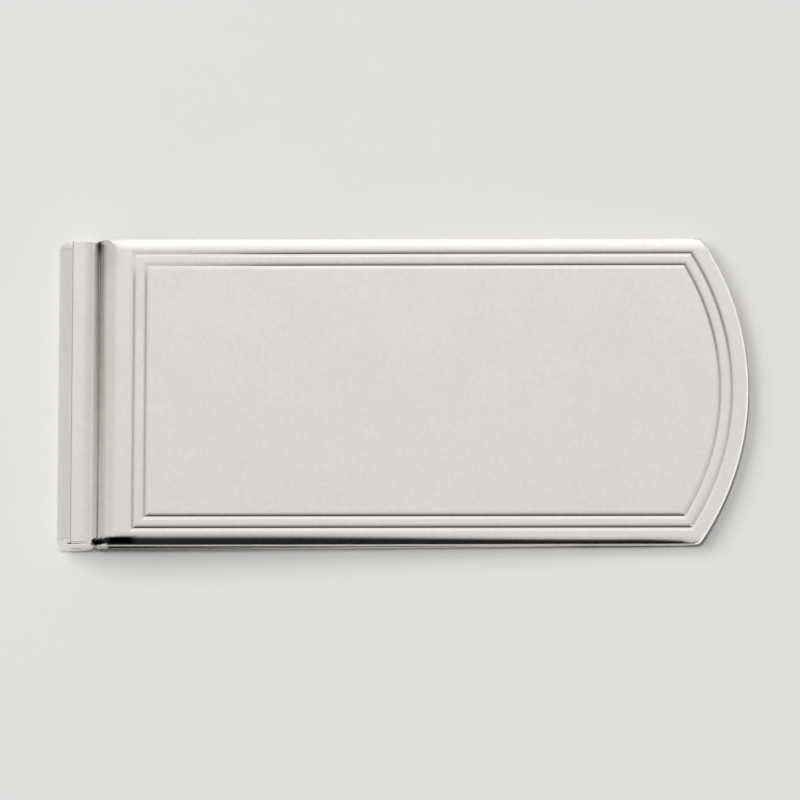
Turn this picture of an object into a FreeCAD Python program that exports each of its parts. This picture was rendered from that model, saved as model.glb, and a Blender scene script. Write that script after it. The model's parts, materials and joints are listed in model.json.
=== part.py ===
"""Spring-hinged money clip: an engraved front plate over a sheet-metal back arm.

Frame: X along the clip from the hinge barrel to the rounded tip, Y across it, Z up, with the
origin at the middle of the clip's footprint. The clip lies on the flat back of its arm.
Every body is drawn about the hinge axis (X = Z = 0) and then placed at the hinge.
"""

import FreeCAD
import Part
import Sketcher
import math
import os
import re

# Driving dimensions, in millimetres and degrees. Angles run from +X towards +Z.
SIZES = {
    # The hinge axis is this far left of the origin, and one tube radius above it.
    "hinge_x": 27.02,
    # Front plate. Heights are above the hinge axis.
    "plate_width": 25.8,
    "plate_reach": 55.62,
    "plate_thick": 1.2,
    "plate_top": 2.35,
    "plate_slope": 2.65,
    "tip_radius": 22.9,
    "tip_edge": 0.15,
    "rim_width": 1.05,
    "rim_radius": 1.6,
    "under_radius": 0.15,
    "nose_radius": 0.85,
    "valley_x": 2.065,
    "stem_left": 1.75,
    "stem_width": 24.6,
    "stem_thick": 0.6,
    "stem_foot": 0.1,
    # The front's curl over the barrel.
    "curl_outer": 2.2,
    "curl_inner": 1.65,
    "curl_below": 10.0,
    "curl_end": 101.0,
    "curl_round": 0.1,
    "barrel_width": 25.4,
    # Engraved border lines.
    "border_inset": 1.35,
    "border_step": 0.98,
    "border_left": 4.74,
    "groove_width": 0.26,
    "groove_depth": 0.085,
    # Back arm and its tube, one sheet.
    "sheet_thick": 0.5,
    "tube_radius": 1.6,
    "tube_width": 24.46,
    "roll_end": 30.0,
    "arm_width": 25.6,
    "arm_reach": 46.0,
    "arm_corner": 4.0,
    "arm_round": 0.15,
    "notch_reach": 1.85,
    # End caps.
    "journal_radius": 1.06,
    "journal_length": 1.95,
    "flange_thick": 0.45,
    "cap_proud": 0.15,
    "dome_radius": 0.42,
    # Hinge pin and the collar at mid width.
    "pin_radius": 0.4,
    "pin_chamfer": 0.08,
    "collar_length": 4.0,
    "collar_play": 0.05,
    # Torsion springs.
    "wire_radius": 0.18,
    "coil_radius": 0.7,
    "coil_pitch": 0.45,
    "coil_turns": 13.0,
    "tang_radius": 0.73,
    "tang_grip": 1.0,
    "tang_play": 0.04,
}

# Which end of the barrel a piece is at, along Y.
NEAR = -1
FAR = 1

EXPRESSION_SETTINGS = ("Length", "Radius", "Size", "Pitch", "Turns")
# How far cutting shapes reach past what they cut, in mm, and as a share of a groove's size.
SCRAP_MARGIN = 1.0
THROUGH_ALL = "4 * plate_top"
GROOVE_OVERCUT = 0.12
# The share of the plate's thickness that the stem reaches up into it.
STEM_BITE = 0.1
# Points closer than this are one point, and a cut smaller than this is no cut.
TOUCH = 1e-4

doc = FreeCAD.newDocument("money_clip")


# ---------------------------------------------------------------- sheet and expressions

def make_sheet():
    """The sheet of driving dimensions, one alias to a row."""
    sheet = doc.addObject("Spreadsheet::Sheet", "sizes")
    for row, (name, value) in enumerate(SIZES.items(), start=1):
        sheet.set(f"A{row}", name)
        sheet.set(f"B{row}", str(value))
        sheet.setAlias(f"B{row}", name)
    doc.recompute()
    return sheet


def linked(text):
    """An expression in which each dimension's name points at its cell."""
    def link(found):
        word = found.group(0)
        return f"sizes.{word}" if word in SIZES else word

    return re.sub(r"[a-z_]+", link, text)


def amount(text):
    """What an expression comes to now."""
    return float(sheet.evalExpression(linked(text)))


# ---------------------------------------------------------------- sketches

def new_body(name):
    """An empty body whose own origin is placed on the hinge axis."""
    body = doc.addObject("PartDesign::Body", name)
    body.Label = name
    body.setExpression("Placement.Base.x", linked("-hinge_x"))
    body.setExpression("Placement.Base.z", linked("tube_radius"))
    return body


def new_sketch(body, name, plane, offset=None):
    """A sketch on one of the body's own planes, moved along its normal by offset."""
    sketch = body.newObject("Sketcher::SketchObject", name)
    for feature in body.Origin.OriginFeatures:
        if feature.Role == plane:
            sketch.AttachmentSupport = [(feature, "")]
    sketch.MapMode = "FlatFace"
    if offset:
        sketch.setExpression("AttachmentOffset.Base.z", linked(offset))
    return sketch


def hold_point(sketch, shape, end, x_text, y_text):
    """Hold a point at two expressions, measured from the sketch's origin."""
    for kind, axis, text in (("DistanceX", -2, x_text), ("DistanceY", -1, y_text)):
        if text == "0":
            sketch.addConstraint(Sketcher.Constraint("PointOnObject", shape, end, axis))
        else:
            rule = Sketcher.Constraint(kind, -1, 1, shape, end, amount(text))
            index = sketch.addConstraint(rule)
            sketch.setExpression(f"Constraints[{index}]", linked(text))


def hold_radius(sketch, shape, text):
    """Hold the radius of a circle or an arc at an expression's size."""
    index = sketch.addConstraint(Sketcher.Constraint("Radius", shape, abs(amount(text))))
    sketch.setExpression(f"Constraints[{index}]", linked(f"abs({text})"))


def arc_between(here, there, radius):
    """The arc of at most half a turn between two points. It runs anticlockwise from here
    where radius is positive, and clockwise where it is negative."""
    chord = there - here
    middle = (here + there) * 0.5
    left = FreeCAD.Vector(-chord.y, chord.x, 0).normalize() * math.copysign(1, radius)
    rise = math.sqrt(max(radius ** 2 - chord.Length ** 2 / 4, 0))
    top = middle + left * (rise - abs(radius))
    return Part.Arc(here, top, there) if radius > 0 else Part.Arc(there, top, here)


def draw_outline(sketch, corners):
    """A closed outline of lines and arcs. Each corner is (x, y), or (x, y, radius) where an
    arc leads to the next corner. All are expressions, as arc_between reads a radius."""
    pieces = []
    for corner, after in zip(corners, corners[1:] + corners[:1]):
        here = FreeCAD.Vector(amount(corner[0]), amount(corner[1]), 0)
        there = FreeCAD.Vector(amount(after[0]), amount(after[1]), 0)
        if len(corner) == 2:
            shape = sketch.addGeometry(Part.LineSegment(here, there), False)
            pieces.append((shape, 1, 2))
        else:
            radius = amount(corner[2])
            shape = sketch.addGeometry(arc_between(here, there, radius), False)
            pieces.append((shape, 1, 2) if radius > 0 else (shape, 2, 1))
    for piece, after in zip(pieces, pieces[1:] + pieces[:1]):
        rule = Sketcher.Constraint("Coincident", piece[0], piece[2], after[0], after[1])
        sketch.addConstraint(rule)
    for piece, corner in zip(pieces, corners):
        hold_point(sketch, piece[0], piece[1], corner[0], corner[1])
        if len(corner) == 3:
            hold_radius(sketch, piece[0], corner[2])


def draw_circle(sketch, x_text, y_text, radius_text):
    """A circle whose place and radius are expressions."""
    centre = FreeCAD.Vector(amount(x_text), amount(y_text), 0)
    circle = Part.Circle(centre, FreeCAD.Vector(0, 0, 1), amount(radius_text))
    shape = sketch.addGeometry(circle, False)
    hold_point(sketch, shape, 3, x_text, y_text)
    hold_radius(sketch, shape, radius_text)


def draw_box(sketch, x_low, x_high, y_low, y_high):
    """A rectangle between four expressions."""
    draw_outline(sketch, [(x_low, y_low), (x_high, y_low), (x_high, y_high), (x_low, y_high)])


# ---------------------------------------------------------------- features

def add_feature(body, kind, name, **settings):
    """A PartDesign feature. Its sizes are expressions."""
    feature = body.newObject(f"PartDesign::{kind}", name)
    for key, value in settings.items():
        if key in EXPRESSION_SETTINGS:
            feature.setExpression(key, linked(value))
        else:
            setattr(feature, key, value)
    body.Tip = feature
    doc.recompute()
    return feature


def cut_feature(body, kind, name, **settings):
    """A feature that has to take material away."""
    before = body.Shape.Volume
    feature = add_feature(body, kind, name, **settings)
    if feature.Shape.isNull() or feature.Shape.Volume > before - TOUCH:
        raise RuntimeError(f"{name} cut nothing")
    return feature


def at_height(edge, height):
    """Whether an edge lies in one level plane of the body's own frame."""
    return all(abs(v.Z - height) < TOUCH for v in edge.Vertexes)


def is_upright(edge):
    """Whether an edge is a straight one along Z."""
    first, last = edge.Vertexes[0].Point, edge.Vertexes[-1].Point
    return math.hypot(last.x - first.x, last.y - first.y) < TOUCH < abs(last.z - first.z)


def is_across(edge):
    """Whether an edge runs straight along Y."""
    first, last = edge.Vertexes[0].Point, edge.Vertexes[-1].Point
    return math.hypot(last.x - first.x, last.z - first.z) < TOUCH < abs(last.y - first.y)


def is_arc(edge, radius):
    """Whether an edge is round, with this radius."""
    return isinstance(edge.Curve, Part.Circle) and abs(edge.Curve.Radius - radius) < TOUCH


def is_at_side(edge, distance):
    """Whether an edge's ends are all this far from the middle, along Y."""
    return all(abs(abs(v.Y) - distance) < TOUCH for v in edge.Vertexes)


def base_of(body, test):
    """The body's last feature with its edges that pass a test, as a dress-up reads them."""
    edges = enumerate(body.Tip.Shape.Edges, start=1)
    return (body.Tip, [f"Edge{i}" for i, edge in edges if test(edge)])


# ---------------------------------------------------------------- shared outlines

def arc_corner_x(reach, inset, half_width):
    """Where an end arc, concentric with the plate's tip, meets a line along the side."""
    return f"{reach} - tip_radius + sqrt((tip_radius - {inset})^2 - ({half_width})^2)"


def cut_round_end(body, name, reach, width):
    """Trim a strip's square end to the tip's arc."""
    side = f"({width} / 2)"
    corner_x = arc_corner_x(reach, "0", side)
    beyond_x = f"{reach} + {SCRAP_MARGIN}"
    beyond_y = f"{side} + {SCRAP_MARGIN}"
    sketch = new_sketch(body, f"{name}_scrap", "XY_Plane")
    draw_outline(sketch, [
        (corner_x, f"-({beyond_y})"),
        (beyond_x, f"-({beyond_y})"),
        (beyond_x, beyond_y),
        (corner_x, beyond_y),
        (corner_x, side, "-tip_radius"),
        (corner_x, f"-{side}"),
    ])
    cut_feature(body, "Pocket", name, Profile=sketch, Length=THROUGH_ALL, Midplane=True)


def draw_border_loop(sketch, inset):
    """One closed line round the face, parallel to the plate's outline."""
    side = f"(plate_width / 2 - ({inset}))"
    left = f"border_left - border_inset + {inset}"
    corner_x = arc_corner_x("plate_reach", f"({inset})", side)
    draw_outline(sketch, [
        (left, f"-{side}"),
        (corner_x, f"-{side}", f"tip_radius - ({inset})"),
        (corner_x, side),
        (left, side),
    ])


# ---------------------------------------------------------------- front plate

def make_front_plate():
    """The engraved plate, its stem behind the hinge, and the curl over the barrel."""
    body = new_body("front_plate")
    body.Placement.Rotation.Axis = FreeCAD.Vector(0, 1, 0)
    body.setExpression("Placement.Rotation.Angle", linked("plate_slope"))
    pad_plate(body)
    round_rim(body)
    cut_round_end(body, "plate_tip", "plate_reach", "plate_width")
    round_edges(body)
    engrave_border(body, "outer_line", "border_inset")
    engrave_border(body, "inner_line", "border_inset + border_step")
    pad_stem(body)
    pad_curl(body)


def pad_plate(body):
    """The plate's slab, with its round nose at the valley."""
    sketch = new_sketch(body, "plate_section", "XZ_Plane")
    draw_outline(sketch, [
        ("valley_x", "plate_top - plate_thick"),
        ("valley_x", "plate_top - nose_radius", "-nose_radius"),
        ("valley_x + nose_radius", "plate_top"),
        ("plate_reach", "plate_top"),
        ("plate_reach", "plate_top - plate_thick"),
    ])
    add_feature(body, "Pad", "plate", Profile=sketch, Length="plate_width", Midplane=True)


def round_rim(body):
    """Roll off the face along both long sides. Each arc is tangent to the face."""
    sketch = new_sketch(body, "rim_section", "YZ_Plane")
    inner = "(plate_width / 2 - rim_width)"
    outer = "plate_width / 2"
    low = "plate_top - rim_radius + sqrt(rim_radius^2 - rim_width^2)"
    beyond_y = f"{outer} + {SCRAP_MARGIN}"
    beyond_z = f"plate_top + {SCRAP_MARGIN}"
    draw_outline(sketch, [
        (outer, low, "rim_radius"),
        (inner, "plate_top"),
        (inner, beyond_z),
        (beyond_y, beyond_z),
        (beyond_y, low),
    ])
    draw_outline(sketch, [
        (f"-{outer}", low, "-rim_radius"),
        (f"-{inner}", "plate_top"),
        (f"-{inner}", beyond_z),
        (f"-({beyond_y})", beyond_z),
        (f"-({beyond_y})", low),
    ])
    cut_feature(body, "Pocket", "rim", Profile=sketch, Length="3 * plate_reach", Midplane=True)


def round_edges(body):
    """Bevel the tip's upper edge, and round the plate's whole lower edge."""
    top = amount("plate_top")
    bottom = amount("plate_top - plate_thick")
    base = base_of(body, lambda e: at_height(e, top) and is_arc(e, SIZES["tip_radius"]))
    cut_feature(body, "Chamfer", "tip_edge_bevel", Base=base, Size="tip_edge")
    base = base_of(body, lambda e: at_height(e, bottom) and not is_across(e))
    cut_feature(body, "Fillet", "under_edge", Base=base, Radius="under_radius")


def engrave_border(body, name, inset):
    """One engraved line: a V swept round a closed loop on the face, mitred at its corners."""
    loop = new_sketch(body, f"{name}_loop", "XY_Plane", "plate_top")
    draw_border_loop(loop, inset)
    vee = new_sketch(body, f"{name}_vee", "XZ_Plane")
    left = f"border_left - border_inset + {inset}"
    reach = f"groove_width / 2 * (1 + {GROOVE_OVERCUT})"
    top = f"plate_top + {GROOVE_OVERCUT} * groove_depth"
    draw_outline(vee, [
        (f"{left} - {reach}", top),
        (left, "plate_top - groove_depth"),
        (f"{left} + {reach}", top),
    ])
    cut_feature(body, "SubtractivePipe", name, Profile=vee, Spine=(loop, []),
                Transition="Right corner")


def pad_stem(body):
    """The step down behind the plate's nose that carries the curl. It also fills the foot
    of the valley between them."""
    sketch = new_sketch(body, "stem_section", "XZ_Plane")
    top = f"plate_top - (1 - {STEM_BITE}) * plate_thick"
    draw_box(sketch, "stem_left", "valley_x + stem_thick", "-stem_foot", top)
    add_feature(body, "Pad", "stem", Profile=sketch, Length="stem_width", Midplane=True)


def pad_curl(body):
    """The sheet rolled over the barrel. Its bore grips the end caps and is relieved
    between them, where the tube turns."""
    sketch = new_sketch(body, "curl_section", "XZ_Plane")
    draw_outline(sketch, [
        ("curl_outer * cos(curl_below)", "-curl_outer * sin(curl_below)", "curl_outer"),
        ("curl_outer * cos(curl_end)", "curl_outer * sin(curl_end)"),
        ("tube_radius * cos(curl_end)", "tube_radius * sin(curl_end)", "-tube_radius"),
        ("tube_radius * cos(curl_below)", "-tube_radius * sin(curl_below)"),
    ])
    add_feature(body, "Pad", "curl", Profile=sketch, Length="barrel_width", Midplane=True)
    outer = amount("curl_outer")
    end = amount("barrel_width / 2")
    round_edge = base_of(body, lambda e: is_arc(e, outer) and is_at_side(e, end))
    cut_feature(body, "Fillet", "curl_ends", Base=round_edge, Radius="curl_round")
    relief = new_sketch(body, "relief_circle", "XZ_Plane")
    draw_circle(relief, "0", "0", "curl_inner")
    cut_feature(body, "Pocket", "relief", Profile=relief, Midplane=True,
                Length="barrel_width - 2 * flange_thick")


# ---------------------------------------------------------------- back arm

def make_back_arm():
    """The flat arm and the tube rolled at its end, notched to clear the end caps."""
    body = new_body("back_arm")
    inner = "(tube_radius - sheet_thick)"
    sketch = new_sketch(body, "sheet_section", "XZ_Plane")
    draw_outline(sketch, [
        ("0", "-tube_radius"),
        ("arm_reach", "-tube_radius"),
        ("arm_reach", f"-{inner}"),
        ("0", f"-{inner}", f"-{inner}"),
        (f"-{inner}", "0", f"-{inner}"),
        ("0", inner, f"-{inner}"),
        (f"{inner} * cos(roll_end)", f"-{inner} * sin(roll_end)"),
        ("tube_radius * cos(roll_end)", "-tube_radius * sin(roll_end)", "tube_radius"),
        ("0", "tube_radius", "tube_radius"),
        ("-tube_radius", "0", "tube_radius"),
    ])
    add_feature(body, "Pad", "sheet", Profile=sketch, Length="arm_width", Midplane=True)
    cut_round_end(body, "arm_end", "arm_reach", "arm_width")
    base = base_of(body, lambda e: is_upright(e) and e.Vertexes[0].X > SIZES["border_left"])
    cut_feature(body, "Fillet", "arm_corners", Base=base, Radius="arm_corner")
    notches = new_sketch(body, "cap_notches", "XY_Plane")
    for side in (NEAR, FAR):
        edges = sorted([f"{side} * tube_width / 2", f"{side} * (arm_width / 2 + {SCRAP_MARGIN})"],
                       key=amount)
        draw_box(notches, f"-tube_radius - {SCRAP_MARGIN}", "notch_reach", *edges)
    cut_feature(body, "Pocket", "cap_room", Profile=notches, Midplane=True,
                Length=THROUGH_ALL)
    side = amount("arm_width / 2")
    base = base_of(body, lambda e: is_at_side(e, side) and not is_upright(e))
    cut_feature(body, "Fillet", "arm_edges", Base=base, Radius="arm_round")


# ---------------------------------------------------------------- hinge pieces

def make_end_cap(name, side):
    """A turned plug: a flange in the curl's end, with its domed face just proud of it, and
    a journal in the tube."""
    body = new_body(name)
    outer = f"{side} * (barrel_width / 2 + cap_proud)"
    dome = f"{side} * (barrel_width / 2 + cap_proud - dome_radius)"
    step = f"{side} * (barrel_width / 2 - flange_thick)"
    inner = f"{side} * (barrel_width / 2 - flange_thick - journal_length)"
    sketch = new_sketch(body, f"{name}_section", "XY_Plane")
    draw_outline(sketch, [
        ("pin_radius", inner),
        ("journal_radius", inner),
        ("journal_radius", step),
        ("tube_radius", step),
        ("tube_radius", dome, f"{side} * dome_radius"),
        ("tube_radius - dome_radius", outer),
        ("pin_radius", outer),
    ])
    add_feature(body, "Revolution", f"{name}_turned", Profile=sketch,
                ReferenceAxis=(sketch, ["V_Axis"]), Angle=360.0)
    hole = new_sketch(body, f"{name}_hole_circle", "XZ_Plane", f"-({inner})")
    draw_circle(hole, "tang_radius", "0", "wire_radius + tang_play")
    cut_feature(body, "Pocket", f"{name}_tang_hole", Profile=hole, Midplane=True,
                Length="2 * (tang_grip + tang_play)")


def make_hinge_pin():
    """The pin through both caps, flush with their faces."""
    body = new_body("hinge_pin")
    sketch = new_sketch(body, "pin_circle", "XZ_Plane")
    draw_circle(sketch, "0", "0", "pin_radius")
    add_feature(body, "Pad", "pin", Profile=sketch, Length="barrel_width + 2 * cap_proud",
                Midplane=True)
    base = base_of(body, lambda e: is_arc(e, SIZES["pin_radius"]))
    cut_feature(body, "Chamfer", "pin_ends", Base=base, Size="pin_chamfer")


def make_spring_collar():
    """The ring pressed into the tube, with a hole that takes both springs' inner tangs."""
    body = new_body("spring_collar")
    sketch = new_sketch(body, "collar_section", "XZ_Plane")
    draw_circle(sketch, "0", "0", "tube_radius - sheet_thick")
    draw_circle(sketch, "0", "0", "pin_radius + collar_play")
    draw_circle(sketch, "tang_radius", "0", "wire_radius + tang_play")
    add_feature(body, "Pad", "collar", Profile=sketch, Length="collar_length", Midplane=True)


# ---------------------------------------------------------------- torsion springs

def wire_end(start, ahead, axial, bend, tip_z):
    """How a coil's wire leaves it: a bend out of the direction ahead, then a straight tang."""
    inward = (axial - ahead * axial.dot(ahead)).normalize()
    centre = start + inward * bend
    turn = ahead.getAngle(axial)

    def at(angle):
        return centre - inward * (bend * math.cos(angle)) + ahead * (bend * math.sin(angle))

    foot = at(turn)
    tip = FreeCAD.Vector(foot.x, foot.y, tip_z)
    bend_edge = Part.Arc(start, at(turn / 2), foot).toShape()
    return [bend_edge, Part.LineSegment(foot, tip).toShape()], tip


def make_spring_shape(length):
    """A right-handed torsion spring along +Z, of this length from tang tip to tang tip. Both
    tangs lie on one line, above +X."""
    coil = SIZES["coil_radius"]
    pitch = SIZES["coil_pitch"]
    climb = math.atan2(pitch, 2 * math.pi * coil)
    lead = math.sqrt(SIZES["tang_radius"] ** 2 - coil ** 2)
    bend = lead / (1 - math.sin(climb))
    lead_angle = math.atan2(lead, coil)
    rise = pitch * (SIZES["coil_turns"] - lead_angle / math.pi)
    helix = Part.makeHelix(pitch, rise, coil)
    helix.translate(FreeCAD.Vector(0, 0, (length - rise) / 2))
    edge = helix.Edges[0]
    first, last = edge.ParameterRange
    up = FreeCAD.Vector(0, 0, 1)
    low_end, low_tip = wire_end(edge.valueAt(first), -edge.tangentAt(first), -up, bend, 0)
    high_end, _ = wire_end(edge.valueAt(last), edge.tangentAt(last), up, bend, length)
    path = Part.Wire(Part.__sortEdges__(low_end + [edge] + high_end))
    section = Part.Wire(Part.makeCircle(SIZES["wire_radius"], low_tip, up))
    spring = path.makePipeShell([section], True, True)
    spring.rotate(FreeCAD.Vector(0, 0, 0), up, math.degrees(lead_angle))
    return spring


def make_torsion_spring(name, side):
    """A coil round the pin, with a tang in the end cap and one in the collar. It is wound so
    that opening the clip tightens it."""
    inner = amount("collar_length / 2 - tang_grip")
    outer = amount("barrel_width / 2 - flange_thick - journal_length + tang_grip")
    spring = make_spring_shape(outer - inner)
    spring.rotate(FreeCAD.Vector(0, 0, 0), FreeCAD.Vector(1, 0, 0), 90)
    spring.translate(FreeCAD.Vector(0, -inner, 0))
    if side == FAR:
        spring = spring.mirror(FreeCAD.Vector(0, 0, 0), FreeCAD.Vector(0, 1, 0))
    feature = doc.addObject("Part::Feature", name)
    feature.Label = name
    feature.Shape = spring
    hinge = FreeCAD.Placement(FreeCAD.Vector(amount("-hinge_x"), 0, amount("tube_radius")),
                              FreeCAD.Rotation())
    feature.Placement = hinge.multiply(feature.Placement)


# ---------------------------------------------------------------- build, check, export

def check_document():
    """Stop if any object failed, or a body isn't one valid solid."""
    for item in doc.Objects:
        if "Invalid" in item.State or "Error" in item.State:
            raise RuntimeError(f"{item.Name} failed: {item.State}")
    for piece in sub_parts():
        shape = piece.Shape
        if shape.isNull() or not shape.isValid() or len(shape.Solids) != 1:
            raise RuntimeError(f"{piece.Label} is not one valid solid")


def sub_parts():
    """Every piece of the clip."""
    return [item for item in doc.Objects if item.TypeId in ("PartDesign::Body", "Part::Feature")]


def export_parts():
    """One STEP file for each sub-part, named by its label."""
    os.makedirs("parts", exist_ok=True)
    for piece in sub_parts():
        piece.Shape.exportStep(f"parts/{piece.Label}.step")
        box = piece.Shape.BoundBox
        print(f"{piece.Label:20s} {piece.Shape.Volume:9.3f} mm3   "
              f"X {box.XMin:8.3f} {box.XMax:8.3f}   Y {box.YMin:8.3f} {box.YMax:8.3f}   "
              f"Z {box.ZMin:7.3f} {box.ZMax:7.3f}")


sheet = make_sheet()
make_front_plate()
make_back_arm()
make_end_cap("end_cap_near", NEAR)
make_end_cap("end_cap_far", FAR)
make_hinge_pin()
make_spring_collar()
make_torsion_spring("torsion_spring_near", NEAR)
make_torsion_spring("torsion_spring_far", FAR)
doc.recompute()
check_document()
export_parts()
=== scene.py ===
"""Looks of the spring-hinged money clip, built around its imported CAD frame.

The front plate and both springs are built here as finer meshes, and stand for their CAD nodes.
Every other piece is its CAD node with a procedural metal. Drawing functions work in
millimetres about the hinge axis, as the CAD does, and place() turns that into the frame's metres.
"""

import json
import math

import bmesh
import bpy
from mathutils import Matrix, Vector


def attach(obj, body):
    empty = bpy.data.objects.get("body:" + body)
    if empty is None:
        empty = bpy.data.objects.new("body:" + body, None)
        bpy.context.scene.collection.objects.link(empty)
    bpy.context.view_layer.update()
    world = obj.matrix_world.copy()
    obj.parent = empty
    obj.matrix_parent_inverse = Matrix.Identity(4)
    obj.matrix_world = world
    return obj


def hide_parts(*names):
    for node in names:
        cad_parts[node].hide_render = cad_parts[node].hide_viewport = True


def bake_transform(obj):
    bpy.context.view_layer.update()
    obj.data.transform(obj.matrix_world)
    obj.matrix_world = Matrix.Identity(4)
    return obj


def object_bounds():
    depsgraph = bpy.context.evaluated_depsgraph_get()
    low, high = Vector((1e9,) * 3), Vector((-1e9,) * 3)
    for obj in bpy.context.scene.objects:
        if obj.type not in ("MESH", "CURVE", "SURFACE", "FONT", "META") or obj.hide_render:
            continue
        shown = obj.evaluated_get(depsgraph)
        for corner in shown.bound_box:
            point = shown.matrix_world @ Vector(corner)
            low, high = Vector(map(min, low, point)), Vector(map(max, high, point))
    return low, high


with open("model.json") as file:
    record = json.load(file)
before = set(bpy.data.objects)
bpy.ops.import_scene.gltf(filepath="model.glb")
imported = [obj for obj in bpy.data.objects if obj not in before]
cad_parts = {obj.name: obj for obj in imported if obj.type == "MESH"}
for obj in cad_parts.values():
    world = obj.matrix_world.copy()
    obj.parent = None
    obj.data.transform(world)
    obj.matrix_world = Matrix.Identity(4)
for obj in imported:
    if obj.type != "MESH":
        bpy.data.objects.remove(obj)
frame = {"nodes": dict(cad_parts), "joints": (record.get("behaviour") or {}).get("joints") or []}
cad_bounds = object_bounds()

MM = 0.001
HINGE = Vector(frame["joints"][0]["pos_m"])

# Front plate, in millimetres about the hinge axis. It is level here, and place() tips it.
PLATE_SLOPE = math.radians(2.65)
HALF_WIDTH = 12.9
PLATE_REACH = 55.62
PLATE_TOP = 2.35
PLATE_BOTTOM = 1.15
UNDER_RADIUS = 0.15
TIP_RADIUS = 22.9
TIP_CENTRE_X = PLATE_REACH - TIP_RADIUS
TIP_CORNER = 0.12
NEAR_CORNER = 0.45
SMALLEST_CORNER = 0.02
TIP_UNDERCUT = 0.3

# The tip's bevel: its width, its angle in degrees, and how much steeper its near end is.
TIP_EDGE = 0.15
BEVEL_ANGLE = 39.0
BEVEL_TWIST = 3.0

# The nose is the plate's end beside the barrel. The rims are the rounded long edges.
VALLEY_X = 2.065
NOSE_DROP = 0.85
NOSE_WIDTH = 1.6
NOSE_POWER = 2.2
RIM_WIDTH = 1.05
RIM_RADIUS = 1.6
NEAR_RIM_AT_TIP = 0.6
NEAR_RIM_LOSS = 0.75

# Stretches along X: where each starts, and over what length it comes in.
BEVEL_JOINS_SIDES = (50.4, 1.2)
UNDERCUT_STARTS = (51.0, 0.8)
NEAR_RIM_NARROWS = (14.0, 30.0)
NEAR_RIM_FADES = (48.0, 4.0)

# Where the outline is divided more finely: millimetres beside the hinge, millimetres before
# the tip's corners, and radians of the tip's arc after them.
FINE_LENGTH = 6.0
CORNER_APPROACH = 1.2
CORNER_SPREAD = 0.09

# Engraved lines: a sharp V in the middle of a wide, shallow dip.
LINE_INSETS = (1.35, 2.33)
LINE_LEFT_SHIFT = 3.39
VEE_HALF = 0.28
VEE_DEPTH = 0.075
VEE_STRAIGHT = 0.45
VEE_CURVED = 0.55
DIP_HALF = 0.42
DIP_DEPTH = 0.012

# The far lines' lighter cut near the hinge: how much shallower, and where along Y and X.
LIGHT_CUT = 0.55
LIGHT_CUT_Y = (9.5, 1.2)
LIGHT_CUT_X = (5.0, 13.0)

# Rings of the upper skin, by distance in from the outline and by distance from a line. The
# two at VEE_HALF are out of order, so the skin folds back on itself in narrow strips there.
EDGE_INSETS = [0.0, 0.003, 0.01, 0.03, 0.055, 0.085, 0.115, TIP_EDGE, 0.165, 0.2, 0.27, 0.36,
               0.46, 0.56, 0.66, 0.76, 0.85]
LINE_OFFSETS = [-DIP_HALF, -0.34, -0.27, -0.21, -0.16, -VEE_HALF, -0.1, -0.075, -0.05, -0.025,
                0.0, 0.025, 0.05, 0.075, 0.1, VEE_HALF, 0.16, 0.21, 0.27, 0.34, DIP_HALF]
PANEL_MARGIN = 0.1

# The stem behind the plate. Its top is the valley's far wall, from the curl up to the nose.
STEM_HALF = 12.85
STEM_FOOT = [(1.68, 1.16), (1.62, 1.0), (1.75, 0.7), (1.75, -0.1), (2.665, -0.1), (2.665, 1.4)]
STEM_TOP = [(2.4, 1.6), (2.1, 1.515), (2.0, 1.434), (1.9, 1.35), (1.8, 1.265)]
VALLEY_FOOT_X = 1.8
CURL_OUTER = 2.2
CURL_INNER = 1.65
CURL_GRIP = 1.6
CURL_LOW = math.radians(-10)
CURL_HIGH = math.radians(101)
CURL_HALF = 12.7
CURL_RELIEF_HALF = 12.25
CURL_ROUND = 0.07
CURL_ROUND_LOW = 0.75
CURL_ROUND_DEEPEST = 0.85
CURL_WORN_BELOW = math.radians(62)
CURL_WORN_OVER = math.radians(30)
SEAM_ROUND = 0.07

# Painted shade, from 0 for none up to its most, and where it lies: shade in the lines, the valley,
# the seam and under the plate, and a dark reflection across the valley's near corner.
MOST_PAINTED_SHADE = 2.75
UNDERSIDE_PAINTED_SHADE = 2.0
SEAM_PAINTED_SHADE = 1.0
SEAM_PAINTED_SHADE_ANGLE = 0.045
LINE_PAINTED_SHADE_HALF = 0.15
TIP_FAR_PAINTED_SHADE = 0.8
TIP_FAR_SPREAD = 6.0
TIP_NEAR_LESS_SHADE = 0.4
TIP_NEAR_SPREAD = 9.0
TOP_DEPTH = 0.2
BOTTOM_MARGIN = 0.01

# The valley's painted shade. The pocket is its far end, and the band at its near corner is a
# painted dark reflection.
VALLEY_FROM_X = 1.0
VALLEY_TO_X = 4.9
VALLEY_FROM_Z = 0.5
POCKET_PAINTED_SHADE = 2.0
POCKET_FROM = (11.2, 1.3)
FOOT_PAINTED_SHADE = 1.1
FOOT_FROM = (5.0, 6.0)
FOOT_HALF = 0.12
POCKET_HALF = 0.3
FLANK_PAINTED_SHADE = 0.4
FLANK_HALF = 2.4
FLANK_FROM = (8.5, 3.0)
BAND_PAINTED_REFLECTION = 2.65
BAND_FROM_X = 1.25
BAND_TOP = 12.2
BAND_BOTTOM = 12.84
BAND_LEAN = 0.45
BAND_LEAN_X = 1.9
BAND_LEAN_OVER = 0.65
BAND_BLUR = 0.1

# Torsion springs.
WIRE_RADIUS = 0.18
COIL_RADIUS = 0.7
COIL_PITCH = 0.45
COIL_TURNS = 13
TANG_RADIUS = 0.73
SPRING_INNER = 1.0
SPRING_OUTER = 11.3

QUARTER = math.pi / 2


# ---------------------------------------------------------------- mesh helpers

def place(point, slope=0.0):
    """A point in millimetres about the hinge axis, tipped by slope, in the frame's metres."""
    turned = Matrix.Rotation(slope, 3, "Y") @ Vector(point)
    return HINGE + turned * MM


def steps(start, end, count):
    """count equal steps from start to end, both ends included."""
    return [start + (end - start) * i / count for i in range(count + 1)]


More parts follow.
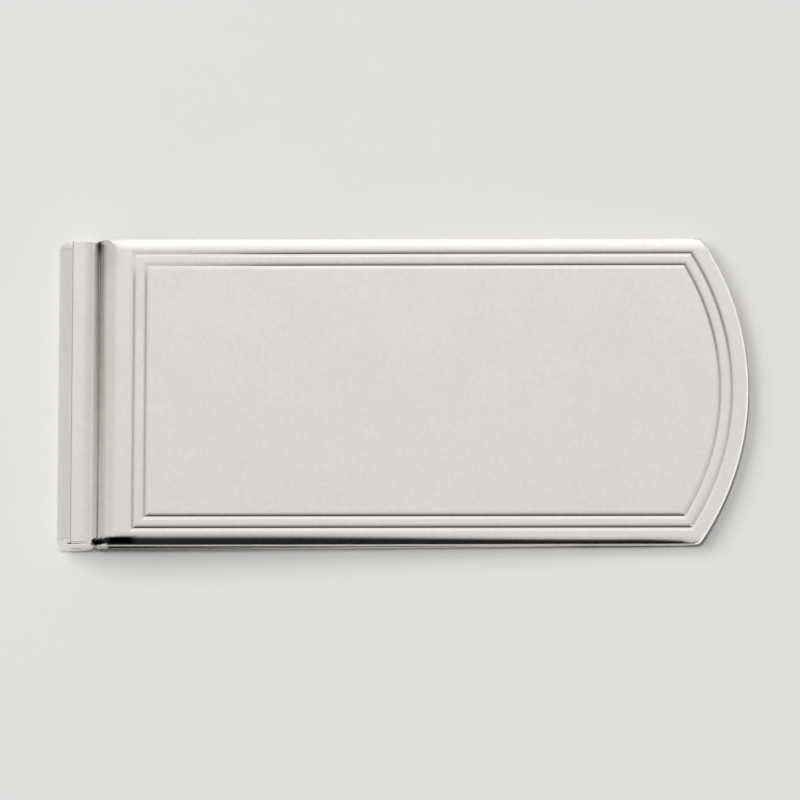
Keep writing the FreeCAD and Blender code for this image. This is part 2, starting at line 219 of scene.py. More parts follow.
def packed(start, end, count, power):
    """count steps from start to end that shorten towards end."""
    return [end + (start - end) * (1 - i / count) ** power for i in range(count + 1)]


def eased(share):
    """A smooth step from 0 to 1."""
    share = min(max(share, 0.0), 1.0)
    return share * share * (3 - 2 * share)


def eased_over(value, start, length):
    """A smooth step that is 0 at start and 1 at length past it."""
    return eased((value - start) / length)


def add_grid(bm, rows, slope=0.0):
    """Quads between rows of points. The end of each row is joined to its start."""
    made = [[bm.verts.new(place(p, slope)) for p in row] for row in rows]
    for low, high in zip(made, made[1:]):
        for i in range(len(low)):
            after = (i + 1) % len(low)
            bm.faces.new((low[i], low[after], high[after], high[i]))
    return made


def linked(bm, name):
    """The mesh as an object in the scene."""
    mesh = bpy.data.meshes.new(name)
    bm.to_mesh(mesh)
    bm.free()
    piece = bpy.data.objects.new(name, mesh)
    bpy.context.scene.collection.objects.link(piece)
    return piece


def finish_mesh(bm, name, merge=0.002 * MM):
    """Weld the patches of a mesh, set its faces to point one way and link it as an object."""
    bmesh.ops.remove_doubles(bm, verts=bm.verts, dist=merge)
    bmesh.ops.dissolve_degenerate(bm, edges=bm.edges, dist=merge)
    bmesh.ops.recalc_face_normals(bm, faces=bm.faces)
    return linked(bm, name)


def smooth_by_angle(piece, angle):
    """Smooth shading, with edges above an angle in degrees kept sharp and flat faces flat."""
    piece.data.shade_smooth()
    piece.data.set_sharp_from_angle(angle=math.radians(angle))
    weigh = piece.modifiers.new("flat_faces_first", "WEIGHTED_NORMAL")
    weigh.keep_sharp = True


def unite(piece, *others):
    """One closed skin out of pieces that overlap."""
    for other in others:
        join = piece.modifiers.new("join", "BOOLEAN")
        join.operation = "UNION"
        join.solver = "EXACT"
        join.object = other
    bpy.context.view_layer.update()
    evaluated = piece.evaluated_get(bpy.context.evaluated_depsgraph_get())
    joined = bpy.data.meshes.new_from_object(evaluated)
    piece.modifiers.clear()
    piece.data = joined
    for other in others:
        bpy.data.objects.remove(other)
    return piece


# ---------------------------------------------------------------- front plate

def engraving(inset):
    """Depth of the engraving at this distance in from the border's outline."""
    depth = 0.0
    for line in LINE_INSETS:
        away = abs(inset - line)
        vee = max(0.0, 1 - away / VEE_HALF)
        dip = max(0.0, 1 - away / DIP_HALF)
        depth += VEE_DEPTH * (VEE_STRAIGHT * vee + VEE_CURVED * vee * vee)
        depth += DIP_DEPTH * dip * dip * (3 - 2 * dip)
    return depth


def cut_share(x, y):
    """Share of their full depth that the lines have here. They were cut lighter along the far
    side near the hinge."""
    return 1 - LIGHT_CUT * eased_over(y, *LIGHT_CUT_Y) * (1 - eased_over(x, *LIGHT_CUT_X))


def round_drop(away, width, radius):
    """How far an edge rounded at this radius and width has dropped, away from the edge."""
    into = width - away
    return radius - math.sqrt(radius ** 2 - into ** 2) if into > 0 else 0.0


def from_tip_arc(x, y):
    """Distance in from the tip's arc. Behind the arc's centre only y counts."""
    return TIP_RADIUS - math.hypot(max(x - TIP_CENTRE_X, 0.0), y)


def top_height(x, y, inset):
    """Height of the plate's upper skin: face, nose, long rims, tip edge and engraving."""
    nose = NOSE_DROP * max(1 - (x - VALLEY_X) / NOSE_WIDTH, 0.0) ** NOSE_POWER
    into_tip = max(from_tip_arc(x, y), 0.0)
    into_tip += (inset - into_tip) * eased_over(x, *BEVEL_JOINS_SIDES)
    bevel = math.radians(BEVEL_ANGLE - BEVEL_TWIST * y / HALF_WIDTH)
    edge = math.tan(bevel) * max(TIP_EDGE - into_tip, 0.0)
    return PLATE_TOP - engraving(inset) * cut_share(x, y) - blended_drop(x, y, nose) - edge


def blended_drop(x, y, drop):
    """The long rims' drop, run smoothly into another drop that it meets at a corner."""
    return (rim_drop(x, y) ** 3 + drop ** 3) ** (1 / 3)


def rim_drop(x, y):
    """How far a long side has dropped. The near one narrows, and gets shallower, to the tip."""
    away = HALF_WIDTH - abs(y)
    if y > 0:
        return round_drop(away, RIM_WIDTH, RIM_RADIUS)
    width = RIM_WIDTH + (NEAR_RIM_AT_TIP - RIM_WIDTH) * eased_over(x, *NEAR_RIM_NARROWS)
    drop = round_drop(away, width, width * RIM_RADIUS / RIM_WIDTH)
    return drop * (1 - NEAR_RIM_LOSS * eased_over(x, *NEAR_RIM_FADES))


def half_ring(inset, left, round_corner):
    """The near half of one ring on the plate: left side, long side, corner and tip arc."""
    side = HALF_WIDTH - inset
    corner = max(round_corner - inset, SMALLEST_CORNER)
    radius = TIP_RADIUS - inset
    inner = math.sqrt((radius - corner) ** 2 - (side - corner) ** 2)
    meet = math.atan2(side - corner, inner)
    fine_end = left + FINE_LENGTH
    corner_x = TIP_CENTRE_X + inner
    approach = corner_x - CORNER_APPROACH
    path = [(left, -y) for y in packed(0.0, side, count=28, power=1.8)]
    path += [(x, -side) for x in packed(fine_end, left, count=12, power=1.5)[-2::-1]]
    path += [(x, -side) for x in steps(fine_end, approach, count=26)[1:]]
    path += [(x, -side) for x in packed(approach, corner_x, count=14, power=1.6)[1:]]
    for angle in steps(-QUARTER, -meet, count=4)[1:]:
        path.append((corner_x + corner * math.cos(angle),
                     -(side - corner) + corner * math.sin(angle)))
    spread = meet - CORNER_SPREAD
    arc = packed(spread, meet, count=10, power=1.6)[-2::-1] + steps(spread, 0.0, count=44)[1:]
    for angle in arc:
        path.append((TIP_CENTRE_X + radius * math.cos(angle), -radius * math.sin(angle)))
    return path


def whole_ring(inset, left):
    """A closed ring of the plate. The tip's near corner is rounder than its far one."""
    far = half_ring(inset, left, TIP_CORNER)
    return half_ring(inset, left, NEAR_CORNER) + [(x, -y) for x, y in reversed(far[1:-1])]


def left_x(inset):
    """Where a ring's left side lies: up the nose for the outer rings, then easing across
    to the border's own left side, and parallel to the outline from there."""
    line = LINE_INSETS[0] - DIP_HALF
    if inset >= line:
        return inset + LINE_LEFT_SHIFT
    return VALLEY_X + (line + LINE_LEFT_SHIFT - VALLEY_X) * (inset / line)


def ring_insets():
    """Insets of the upper skin's rings, close together over the edge and the lines."""
    insets = list(EDGE_INSETS)
    for line in LINE_INSETS:
        insets += [line + offset for offset in LINE_OFFSETS]
    return insets + [LINE_INSETS[-1] + DIP_HALF + PANEL_MARGIN]


def add_top(bm):
    """The upper skin inside the nose, ring by ring, and the flat panel in the middle."""
    rows = []
    for inset in ring_insets():
        rows.append([(x, y, top_height(x, y, inset)) for x, y in whole_ring(inset, left_x(inset))])
    made = add_grid(bm, rows, PLATE_SLOPE)
    bm.faces.new(made[-1])
    return rows[0]


def undercut(x):
    """How far the tip's wall leans in below its bevel."""
    return TIP_UNDERCUT * eased_over(x, *UNDERCUT_STARTS)


def add_sides(bm, outline):
    """The walls, the small lower edge and the flat bottom, from the outline down."""
    rows = [outline, [(x - undercut(x), y, PLATE_BOTTOM + UNDER_RADIUS) for x, y, _ in outline]]
    for turn in steps(0.0, QUARTER, count=4)[1:]:
        inset = UNDER_RADIUS * (1 - math.cos(turn))
        height = PLATE_BOTTOM + UNDER_RADIUS * (1 - math.sin(turn))
        rows.append([(x - undercut(x), y, height) for x, y in whole_ring(inset, VALLEY_X)])
    made = add_grid(bm, rows, PLATE_SLOPE)
    bm.faces.new(made[-1])


def curl_end(size):
    """One end's rounding, (y, radius) from the outer face to the outer side."""
    depth = min(size, CURL_ROUND_DEEPEST * (CURL_OUTER - CURL_GRIP))
    return [(CURL_HALF - size * (1 - math.cos(turn)), CURL_OUTER - depth * (1 - math.sin(turn)))
            for turn in steps(0.0, QUARTER, count=8)]


def curl_row(angle, trim):
    """The curl's section at one angle. The seam's own rounding trims its outer side, and the
    near end is worn rounder down in the valley."""
    worn = eased((CURL_WORN_BELOW - angle) / CURL_WORN_OVER)
    near_round = CURL_ROUND + (CURL_ROUND_LOW - CURL_ROUND) * worn
    section = [(-CURL_HALF, CURL_GRIP), (-CURL_RELIEF_HALF, CURL_GRIP),
               (-CURL_RELIEF_HALF, CURL_INNER), (CURL_RELIEF_HALF, CURL_INNER),
               (CURL_RELIEF_HALF, CURL_GRIP), (CURL_HALF, CURL_GRIP)]
    section += curl_end(CURL_ROUND) + [(-y, r) for y, r in reversed(curl_end(near_round))]
    return [(min(r, CURL_OUTER - trim) * math.cos(angle), y,
             min(r, CURL_OUTER - trim) * math.sin(angle)) for y, r in section]


def make_curl():
    """The sheet rolled over the barrel, with rounded ends and a bore relieved for the tube."""
    bm = bmesh.new()
    round_angle = SEAM_ROUND / CURL_OUTER
    unrounded = steps(CURL_LOW, CURL_HIGH - round_angle, count=64)
    rows = [curl_row(angle, 0.0) for angle in unrounded]
    for turn in steps(0.0, QUARTER, count=4)[1:]:
        angle = CURL_HIGH - round_angle * (1 - math.sin(turn))
        rows.append(curl_row(angle, SEAM_ROUND * (1 - math.cos(turn))))
    made = add_grid(bm, rows, PLATE_SLOPE)
    bm.faces.new(made[0])
    bm.faces.new(made[-1])
    return finish_mesh(bm, "curl", merge=0.0002 * MM)


def make_stem():
    """The step between the curl and the plate. Its top carries the plate's long rims on, so
    they run right up to the curl."""
    bm = bmesh.new()
    rows = []
    near = packed(0.0, -STEM_HALF, count=36, power=1.8)[::-1]
    far = packed(0.0, STEM_HALF, count=36, power=1.8)[1:]
    for y in near + far:
        top = [(x, y, PLATE_TOP - blended_drop(x, y, PLATE_TOP - z)) for x, z in STEM_TOP]
        rows.append([(x, y, z) for x, z in STEM_FOOT] + top)
    made = add_grid(bm, rows, PLATE_SLOPE)
    bm.faces.new(made[0])
    bm.faces.new(made[-1])
    return finish_mesh(bm, "stem")


def line_painted_shade(x, y):
    """How much painted shade the engraved lines get here: most round the tip's far half, least
    round its near half.
    """
    inset = min(HALF_WIDTH - abs(y), from_tip_arc(x, y), x - LINE_LEFT_SHIFT)
    away = min(abs(inset - line) for line in LINE_INSETS)
    deepest_shade = cut_share(x, y) ** 2
    if inset == from_tip_arc(x, y):
        deepest_shade += TIP_FAR_PAINTED_SHADE * eased(y / TIP_FAR_SPREAD)
        deepest_shade -= TIP_NEAR_LESS_SHADE * eased(-y / TIP_NEAR_SPREAD)
    return deepest_shade * max(0.0, 1 - away / LINE_PAINTED_SHADE_HALF)


def valley_painted_shade(x, y):
    """How much painted shade the valley beside the curl gets here: its foot towards the near end,
    most of all the pocket at its far end with the flanks there, and a painted dark reflection in
    a band across its near corner."""
    away = abs(x - VALLEY_FOOT_X)
    pocket = eased_over(y, *POCKET_FROM)
    foot = max(1 - away / (FOOT_HALF + POCKET_HALF * pocket), 0.0)
    foot *= FOOT_PAINTED_SHADE * eased_over(-y, *FOOT_FROM) + POCKET_PAINTED_SHADE * pocket
    flank = FLANK_PAINTED_SHADE * max(1 - away / FLANK_HALF, 0.0) * eased_over(y, *FLANK_FROM)
    # The band is a painted dark reflection that carries the near rim's black band on to the curl.
    band_top = BAND_TOP + BAND_LEAN * max((BAND_LEAN_X - x) / BAND_LEAN_OVER, 0.0)
    below_top = eased_over(-y, band_top, BAND_BLUR)
    above_bottom = eased_over(y, -BAND_BOTTOM, BAND_BLUR)
    band = below_top * above_bottom * (x > BAND_FROM_X)
    return max(foot + flank, BAND_PAINTED_REFLECTION * band)


def mark_painted_shade(plate):
    """Write how much painted shade each point gets: in the lines, the valley and along the seam's
    edge, and on the side that faces the arm, with a painted dark reflection across the valley's
    near corner."""
    mark = plate.data.attributes.new("tarnish", "FLOAT", "POINT")
    level = Matrix.Rotation(-PLATE_SLOPE, 3, "Y")
    for vertex in plate.data.vertices:
        x, y, z = (level @ (vertex.co - HINGE)) / MM
        round_axis = math.hypot(x, z)
        # Painted shade in the engraved lines.
        value = line_painted_shade(x, y) if z > PLATE_TOP - TOP_DEPTH else 0.0
        # Painted shade on the side that faces the arm, in the gap under the plate.
        if z < PLATE_BOTTOM + BOTTOM_MARGIN and x > VALLEY_X:
            value = UNDERSIDE_PAINTED_SHADE
        # Painted shade along the seam's edge, where the tube meets the curl.
        if round_axis > CURL_INNER and math.atan2(z, x) > CURL_HIGH - SEAM_PAINTED_SHADE_ANGLE:
            value = SEAM_PAINTED_SHADE
        # Painted shade in the valley, and a painted dark reflection across its near corner.
        if VALLEY_FROM_X < x < VALLEY_TO_X and z > VALLEY_FROM_Z and round_axis > CURL_GRIP:
            value = max(value, valley_painted_shade(x, y))
        mark.data[vertex.index].value = value


def make_front_plate():
    """The whole front as one closed skin."""
    bm = bmesh.new()
    outline = add_top(bm)
    add_sides(bm, outline)
    plate = finish_mesh(bm, "engraved_front", merge=0.0005 * MM)
    unite(plate, make_stem(), make_curl())
    mark_painted_shade(plate)
    smooth_by_angle(plate, angle=36)
    return plate


# ---------------------------------------------------------------- springs

def spring_path():
    """The middle of a right-handed spring's wire along +Z, from tang tip to tang tip."""
    climb = math.atan2(COIL_PITCH, 2 * math.pi * COIL_RADIUS)
    lead = math.sqrt(TANG_RADIUS ** 2 - COIL_RADIUS ** 2)
    bend = lead / (1 - math.sin(climb))
    lead_angle = math.atan2(lead, COIL_RADIUS)
    turns = COIL_TURNS - lead_angle / math.pi
    length = SPRING_OUTER - SPRING_INNER
    rise = COIL_PITCH * turns
    coil = []
    for turn in steps(0.0, turns, count=400):
        angle = 2 * math.pi * turn + lead_angle
        coil.append(Vector((COIL_RADIUS * math.cos(angle), COIL_RADIUS * math.sin(angle),
                            (length - rise) / 2 + COIL_PITCH * turn)))
    up = Vector((0, 0, 1))
    low = wire_end(coil[0], (coil[0] - coil[1]).normalized(), -up, bend, 0.0)
    high = wire_end(coil[-1], (coil[-1] - coil[-2]).normalized(), up, bend, length)
    return list(reversed(low)) + coil + high


def wire_end(start, ahead, axial, bend, tip_z):
    """How the wire leaves the coil: a bend to the axial direction, then a straight tang."""
    inward = (axial - ahead * axial.dot(ahead)).normalized()
    centre = start + inward * bend
    points = []
    for angle in steps(0.0, ahead.angle(axial), count=8)[1:]:
        points.append(centre - inward * bend * math.cos(angle) + ahead * bend * math.sin(angle))
    foot = points[-1]
    points.append(Vector((foot.x, foot.y, tip_z)))
    return points


def make_spring(name, side):
    """A round wire swept along the spring's path. The two springs are mirror images."""
    path = [Vector((p.x, side * (SPRING_INNER + p.z), -p.y)) for p in spring_path()]
    bm = bmesh.new()
    across = Vector((1, 0, 0))
    round_wire = steps(0.0, 2 * math.pi, count=10)[:-1]
    rows = []
    for i, point in enumerate(path):
        ahead = (path[min(i + 1, len(path) - 1)] - path[max(i - 1, 0)]).normalized()
        across = (across - ahead * across.dot(ahead)).normalized()
        other = ahead.cross(across)
        rows.append([point + across * WIRE_RADIUS * math.cos(a) + other * WIRE_RADIUS * math.sin(a)
                     for a in round_wire])
    made = add_grid(bm, rows)
    bm.faces.new(made[0])
    bm.faces.new(made[-1])
    spring = finish_mesh(bm, name, merge=0.0005 * MM)
    smooth_by_angle(spring, angle=50)
    return spring


# ---------------------------------------------------------------- materials

# The metals' noise: cells to the metre, and the part of the nicks' noise that makes a nick.
MOTTLE_BROAD = 260.0
MOTTLE_BROAD_SHARE = 0.4
MOTTLE_FINE = 2600.0
MOTTLE_FINE_SHARE = 0.6
NICK_SCALE = 380.0
NICK_STRETCH = (1.0, 0.45, 1.0)
NICK_NOISE = (0.72, 0.76)
BUMP_HEIGHT = 0.02 * MM

# The arm's near edge, along Y, where shade under the plate is painted on, and how that painted
# shade fades along X.
EDGE_SHADE_Y = (-12.78 * MM, -12.72 * MM)
EDGE_SHADE_X = (-22.0 * MM, -5.0 * MM)
EDGE_SHADE_LEAST = 0.15


def metal(name, colour, roughness, grain, grain_size, bump, mottle=0.03, tarnish=0.0,
          nicks=0.0, edge_painted_shade=0.0):
    """A bare metal: mottled colour, uneven polish and a fine grain, grain_size millimetres
    across. It can have painted shade and a painted dark reflection where the mesh says so, a few
    small nicks, and painted shade along a near edge, deepest by the hinge."""
    material = bpy.data.materials.new(name)
    material.use_nodes = True
    tree = material.node_tree
    nodes, links = tree.nodes, tree.links
    shader = nodes["Principled BSDF"]
    shader.inputs["Metallic"].default_value = 1.0
    place_node = nodes.new("ShaderNodeTexCoord")

    def noise(scale, detail, stretch=(1, 1, 1)):
        mapping = nodes.new("ShaderNodeMapping")
        mapping.inputs["Scale"].default_value = stretch
        links.new(place_node.outputs["Object"], mapping.inputs["Vector"])
        texture = nodes.new("ShaderNodeTexNoise")
        texture.inputs["Scale"].default_value = scale
        texture.inputs["Detail"].default_value = detail
        links.new(mapping.outputs["Vector"], texture.inputs["Vector"])
        return texture.outputs["Fac"]

    def ramp(source, low, high, from_low=0.3, from_high=0.7):
        spread = nodes.new("ShaderNodeMapRange")
        spread.inputs["From Min"].default_value = from_low
        spread.inputs["From Max"].default_value = from_high
        spread.inputs["To Min"].default_value = low
        spread.inputs["To Max"].default_value = high
        links.new(source, spread.inputs["Value"])
        return spread.outputs["Result"]

    def combine(operation, *sources):
        step = nodes.new("ShaderNodeMath")
        step.operation = operation
        for socket, source in zip(step.inputs, sources):
            links.new(source, socket)
        return step.outputs["Value"]

    fine = noise(1.0 / (grain_size * MM), detail=2.0)
    broad_mottle = noise(MOTTLE_BROAD, detail=4.0)
    darker = ramp(broad_mottle, -MOTTLE_BROAD_SHARE * mottle, 0.0)
    fine_mottle = noise(MOTTLE_FINE, detail=3.0)
    level = combine("ADD", darker, ramp(fine_mottle, 1 - MOTTLE_FINE_SHARE * mottle, 1.0))
    if nicks:
        spots = noise(NICK_SCALE, detail=2.0, stretch=NICK_STRETCH)
        level = combine("SUBTRACT", level, ramp(spots, 0.0, nicks, *NICK_NOISE))
    # Painted shade on the arm's near edge, under the plate, deepest by the hinge.
    if edge_painted_shade:
        split = nodes.new("ShaderNodeSeparateXYZ")
        links.new(place_node.outputs["Object"], split.inputs["Vector"])
        side = ramp(split.outputs["Y"], edge_painted_shade, 0.0, *EDGE_SHADE_Y)
        fade = ramp(split.outputs["X"], 1.0, EDGE_SHADE_LEAST, *EDGE_SHADE_X)
        level = combine("SUBTRACT", level, combine("MULTIPLY", side, fade))
    # Painted shade and a painted dark reflection, read from the mesh, darken the colour.
    if tarnish:
        mark = nodes.new("ShaderNodeAttribute")
        mark.attribute_name = "tarnish"
        deepest_shade = ramp(mark.outputs["Fac"], 0.0, MOST_PAINTED_SHADE * tarnish, 0.0, MOST_PAINTED_SHADE)
        level = combine("SUBTRACT", level, deepest_shade)
    shade = nodes.new("ShaderNodeVectorMath")
    shade.operation = "SCALE"
    shade.inputs[0].default_value = colour
    links.new(level, shade.inputs["Scale"])
    links.new(shade.outputs["Vector"], shader.inputs["Base Color"])

    links.new(ramp(fine, roughness - grain, roughness + grain), shader.inputs["Roughness"])
    relief = nodes.new("ShaderNodeBump")
    relief.inputs["Strength"].default_value = bump
    relief.inputs["Distance"].default_value = BUMP_HEIGHT
    links.new(fine, relief.inputs["Height"])
    links.new(relief.outputs["Normal"], shader.inputs["Normal"])
    return material


def give(piece, material):
    """One material over the whole piece."""
    piece.data.materials.clear()
    piece.data.materials.append(material)


# The plate's satin takes painted shade and a painted dark reflection from the mesh.
satin = metal("satin_plate_metal", (0.832, 0.799, 0.775), roughness=0.18, grain=0.025,
              grain_size=0.11, bump=0.02, mottle=0.07, tarnish=0.36)
# The arm's sheet gets painted shade along its near edge.
sheet = metal("arm_sheet_metal", (0.800, 0.775, 0.755), roughness=0.24, grain=0.03,
              grain_size=0.13, bump=0.015, nicks=0.35, edge_painted_shade=0.75)
bright = metal("cap_bright_metal", (0.87, 0.85, 0.83), roughness=0.2, grain=0.03,
               grain_size=0.15, bump=0.02)
ground = metal("pin_ground_steel", (0.55, 0.54, 0.53), roughness=0.2, grain=0.05,
               grain_size=0.08, bump=0.05)
turned = metal("collar_turned_brass", (0.75, 0.56, 0.27), roughness=0.28, grain=0.06,
               grain_size=0.1, bump=0.05)
drawn = metal("spring_drawn_steel", (0.42, 0.42, 0.43), roughness=0.25, grain=0.06,
              grain_size=0.07, bump=0.05)


# ---------------------------------------------------------------- the clip

front = make_front_plate()
give(front, satin)
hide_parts("front_plate")
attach(front, "front")

for name, side in (("near", -1), ("far", 1)):
    spring = make_spring(f"wound_spring_{name}", side)
    give(spring, drawn)
    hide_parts(f"torsion_spring_{name}")
    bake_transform(spring)

for node, material in (("back_arm", sheet), ("end_cap_near", bright), ("end_cap_far", bright),
                       ("hinge_pin", ground), ("spring_collar", turned)):
    give(frame["nodes"][node], material)


# ---------------------------------------------------------------- studio

# The table is a hair below the clip, so that their faces don't share one level.
TABLE_RADIUS = 4.0
TABLE_DROP = 0.02 * MM
PAPER_DARK = (0.790, 0.785, 0.775, 1)
PAPER_LIGHT = (0.815, 0.810, 0.800, 1)
PAPER_ROUGHNESS = 0.85
PAPER_SHEEN = 0.1
PAPER_MOTTLE = 60.0

WALL_RADIUS = 3.0
WALL_COLOUR = (1.0, 0.993, 0.982)
WALL_STRENGTH = 0.755
FILL_STRENGTH = 0.17
LIGHT_DISTANCE = 1.5

# The overhead card is level. It fades into the walls' strength along X.
CARD_HIGH = 0.3
CARD_HALF = 0.28
CARD_FADES_FROM = 0.07
NEAR_EDGE = -0.3
FAR_EDGE = 0.35
WINGS_TO_Y = -0.20
WINGS_GAP = 0.001

# The overhead card's strength from its near edge to its far one, as (y, strength).
OVERHEAD_STOPS = [
    (NEAR_EDGE, 0.0), (-0.20, 0.0), (-0.17, 0.06), (-0.14, 0.22), (-0.11, 0.42), (-0.08, 0.58),
    (-0.04, 0.69), (0.0, 0.75), (0.06, 0.863), (0.12, 0.985), (0.2, 1.1), (FAR_EDGE, 1.28)]


def glowing(name, colour, strength):
    """A plain emitting material, for the cards and walls that only reflections show."""
    material = bpy.data.materials.new(name)
    material.use_nodes = True
    nodes = material.node_tree.nodes
    nodes.remove(nodes["Principled BSDF"])
    glow = nodes.new("ShaderNodeEmission")
    glow.inputs["Color"].default_value = (*colour, 1)
    glow.inputs["Strength"].default_value = strength
    links = material.node_tree.links
    links.new(glow.outputs["Emission"], nodes["Material Output"].inputs["Surface"])
    return material


def make_floor():
    """A pale, faintly mottled table."""
    bm = bmesh.new()
    bmesh.ops.create_circle(bm, cap_ends=True, radius=TABLE_RADIUS, segments=96)
    table = linked(bm, "table")
    table.location.z = cad_bounds[0].z - TABLE_DROP
    material = bpy.data.materials.new("table_paper")
    material.use_nodes = True
    nodes, links = material.node_tree.nodes, material.node_tree.links
    shader = nodes["Principled BSDF"]
    shader.inputs["Roughness"].default_value = PAPER_ROUGHNESS
    shader.inputs["Specular IOR Level"].default_value = PAPER_SHEEN
    texture = nodes.new("ShaderNodeTexNoise")
    texture.inputs["Scale"].default_value = PAPER_MOTTLE
    texture.inputs["Detail"].default_value = 5.0
    shade = nodes.new("ShaderNodeValToRGB")
    shade.color_ramp.elements[0].color = PAPER_DARK
    shade.color_ramp.elements[1].color = PAPER_LIGHT
    place_node = nodes.new("ShaderNodeTexCoord")
    links.new(place_node.outputs["Object"], texture.inputs["Vector"])
    links.new(texture.outputs["Fac"], shade.inputs["Fac"])
    links.new(shade.outputs["Color"], shader.inputs["Base Color"])
    table.data.materials.append(material)


def make_light(name, direction, size, power):
    """A square softbox that faces the clip. The metal doesn't reflect it."""
    lamp = bpy.data.lights.new(name, "AREA")
    lamp.shape = "SQUARE"
    lamp.size = size
    lamp.energy = power
    light = bpy.data.objects.new(name, lamp)
    away = Vector(direction).normalized()
    light.location = away * LIGHT_DISTANCE
    light.rotation_euler = away.to_track_quat("Z", "Y").to_euler()
    light.visible_glossy = False
    bpy.context.scene.collection.objects.link(light)


def soft_gradient(name, stops, side_strength, side_from, side_to):
    """An emitting material whose strength changes along Y, and fades to side_strength between
    two distances along X. Each stop is (y in m, strength)."""
    material = glowing(name, (1, 1, 1), 1.0)
    nodes, links = material.node_tree.nodes, material.node_tree.links
    glow = next(n for n in nodes if n.bl_idname == "ShaderNodeEmission")
    place_node = nodes.new("ShaderNodeTexCoord")
    split = nodes.new("ShaderNodeSeparateXYZ")
    links.new(place_node.outputs["Object"], split.inputs["Vector"])
    low, high = stops[0][0], stops[-1][0]
    spread = nodes.new("ShaderNodeMapRange")
    spread.inputs["From Min"].default_value = low
    spread.inputs["From Max"].default_value = high
    links.new(split.outputs["Y"], spread.inputs["Value"])
    shade = nodes.new("ShaderNodeValToRGB")
    elements = shade.color_ramp.elements
    while len(elements) < len(stops):
        elements.new(0.5)
    for element, (y, strength) in zip(elements, stops):
        element.position = (y - low) / (high - low)
        element.color = (strength, strength, strength, 1)
    links.new(spread.outputs["Result"], shade.inputs["Fac"])
    sideways = nodes.new("ShaderNodeMath")
    sideways.operation = "ABSOLUTE"
    links.new(split.outputs["X"], sideways.inputs[0])
    fade = nodes.new("ShaderNodeMapRange")
    fade.interpolation_type = "SMOOTHSTEP"
    fade.inputs["From Min"].default_value = side_from
    fade.inputs["From Max"].default_value = side_to
    links.new(sideways.outputs["Value"], fade.inputs["Value"])
    blend = nodes.new("ShaderNodeMixRGB")
    blend.inputs["Color2"].default_value = (side_strength, side_strength, side_strength, 1)
    links.new(fade.outputs["Result"], blend.inputs["Fac"])
    links.new(shade.outputs["Color"], blend.inputs["Color1"])
    links.new(blend.outputs["Color"], glow.inputs["Color"])
    return material


def make_card(name, material, corners):
    """A flat card that only reflections show."""
    bm = bmesh.new()
    bm.faces.new([bm.verts.new(c) for c in corners])
    card = linked(bm, name)
    card.data.materials.append(material)
    only_reflected(card)


def along_x(x_from, x_to, low, high):
    """Corners of a card that runs along X between two edges, each given as (y, z)."""
    return [(x_from, *low), (x_to, *low), (x_to, *high), (x_from, *high)]


def only_reflected(card):
    """Let only reflections show a studio object: it lights nothing and casts no shadow."""
    card.visible_camera = False
    card.visible_diffuse = False
    card.visible_shadow = False


def make_surroundings():
    """Pale walls that the metal reflects, and a weaker fill that lights everything."""
    bm = bmesh.new()
    bmesh.ops.create_uvsphere(bm, u_segments=48, v_segments=24, radius=WALL_RADIUS)
    walls = linked(bm, "walls")
    walls.data.materials.append(glowing("pale_walls", WALL_COLOUR, WALL_STRENGTH))
    only_reflected(walls)
    world = bpy.data.worlds.new("studio")
    bpy.context.scene.world = world
    world.use_nodes = True
    back = world.node_tree.nodes["Background"]
    back.inputs["Color"].default_value = (*WALL_COLOUR, 1)
    back.inputs["Strength"].default_value = FILL_STRENGTH


make_floor()
make_surroundings()
make_light("overhead", direction=(0.0, 0.0, 1.0), size=0.2, power=7.7)
make_light("key_left", direction=(-0.75, 0.3, 1.0), size=1.15, power=14.0)

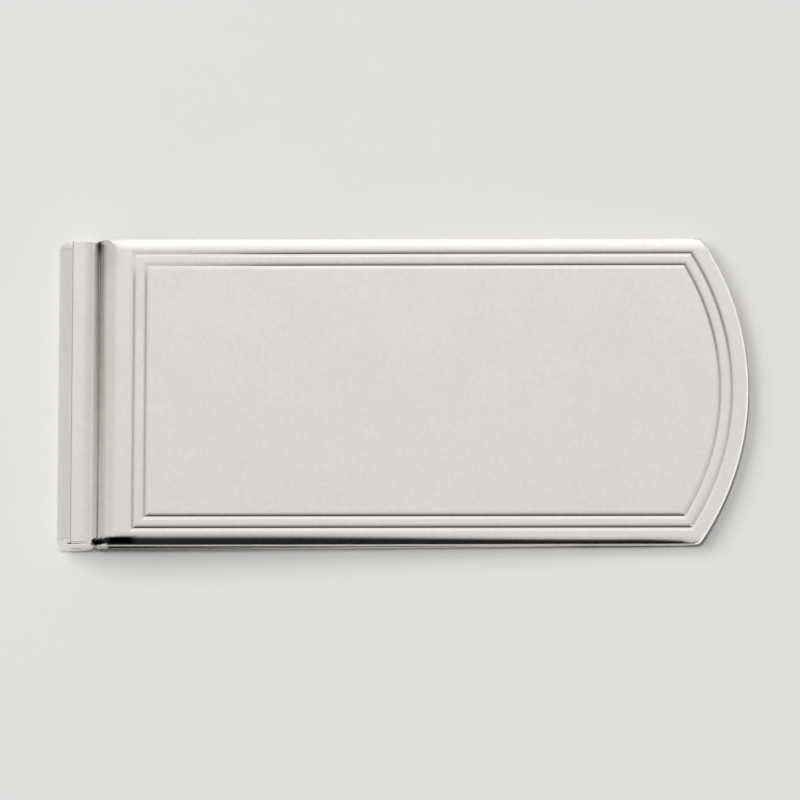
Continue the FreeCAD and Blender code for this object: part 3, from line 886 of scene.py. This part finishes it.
# What the metal reflects. The dark cards make the black band along the plate's near edge.
overhead = soft_gradient("overhead_card", OVERHEAD_STOPS, side_strength=WALL_STRENGTH,
                         side_from=CARD_FADES_FROM, side_to=CARD_HALF)
make_card("overhead_card", overhead,
          along_x(-CARD_HALF, CARD_HALF, (NEAR_EDGE, CARD_HIGH), (FAR_EDGE, CARD_HIGH)))
white = glowing("bright_card", (1, 1, 1), 1.3)
make_card("bright_far_card", white, along_x(-0.32, 0.3, (0.5, 0.0), (0.45, 0.4)))
make_card("bright_tip_card", glowing("tip_card", (1, 1, 1), 1.12),
          [(0.5, -0.4, 0.0), (0.5, 0.9, 0.0), (0.5, 0.9, 0.2), (0.5, -0.4, 0.13)])
make_card("bright_near_card", white, along_x(-0.6, 0.6, (-0.5, 0.0), (-0.5, 0.09)))
make_card("dark_near_card", glowing("dark_near", (0, 0, 0), 0.0),
          along_x(-0.32, 0.26, (-0.31, 0.055), (NEAR_EDGE, CARD_HIGH)))
make_card("dark_near_wings", glowing("dark_wings", (0, 0, 0), 0.0),
          along_x(-0.32, 0.3, (NEAR_EDGE, CARD_HIGH), (WINGS_TO_Y, CARD_HIGH + WINGS_GAP)))


# ---------------------------------------------------------------- camera

# The view is almost straight down, from a little to the near side and to the right.
VIEW_TILT = math.radians(12.13)
VIEW_TURN = math.radians(21.8)
VIEW_ROLL = math.radians(0.286)
VIEW_DISTANCE = 1.2
VIEW_WIDTH = 66.22 * MM
SENSOR_WIDTH = 36.0
CLIP_START = 0.01
CLIP_END = 20.0
AIM = Vector((-0.213, -0.55, 1.41)) * MM


def make_camera():
    """A long lens over the clip."""
    data = bpy.data.cameras.new("camera")
    data.sensor_width = SENSOR_WIDTH
    data.lens = data.sensor_width * VIEW_DISTANCE / VIEW_WIDTH
    data.clip_start = CLIP_START
    data.clip_end = CLIP_END
    camera = bpy.data.objects.new("camera", data)
    bpy.context.scene.collection.objects.link(camera)
    back = Vector((math.sin(VIEW_TILT) * math.sin(VIEW_TURN),
                   -math.sin(VIEW_TILT) * math.cos(VIEW_TURN), math.cos(VIEW_TILT)))
    right = Vector((0, 1, 0)).cross(back).normalized()
    up = back.cross(right)
    turned_right = right * math.cos(VIEW_ROLL) + up * math.sin(VIEW_ROLL)
    turned_up = up * math.cos(VIEW_ROLL) - right * math.sin(VIEW_ROLL)
    turn = Matrix((turned_right, turned_up, back)).transposed()
    camera.matrix_world = Matrix.Translation(AIM + back * VIEW_DISTANCE) @ turn.to_4x4()
    bpy.context.scene.camera = camera


make_camera()
bpy.context.scene.view_settings.view_transform = "Standard"
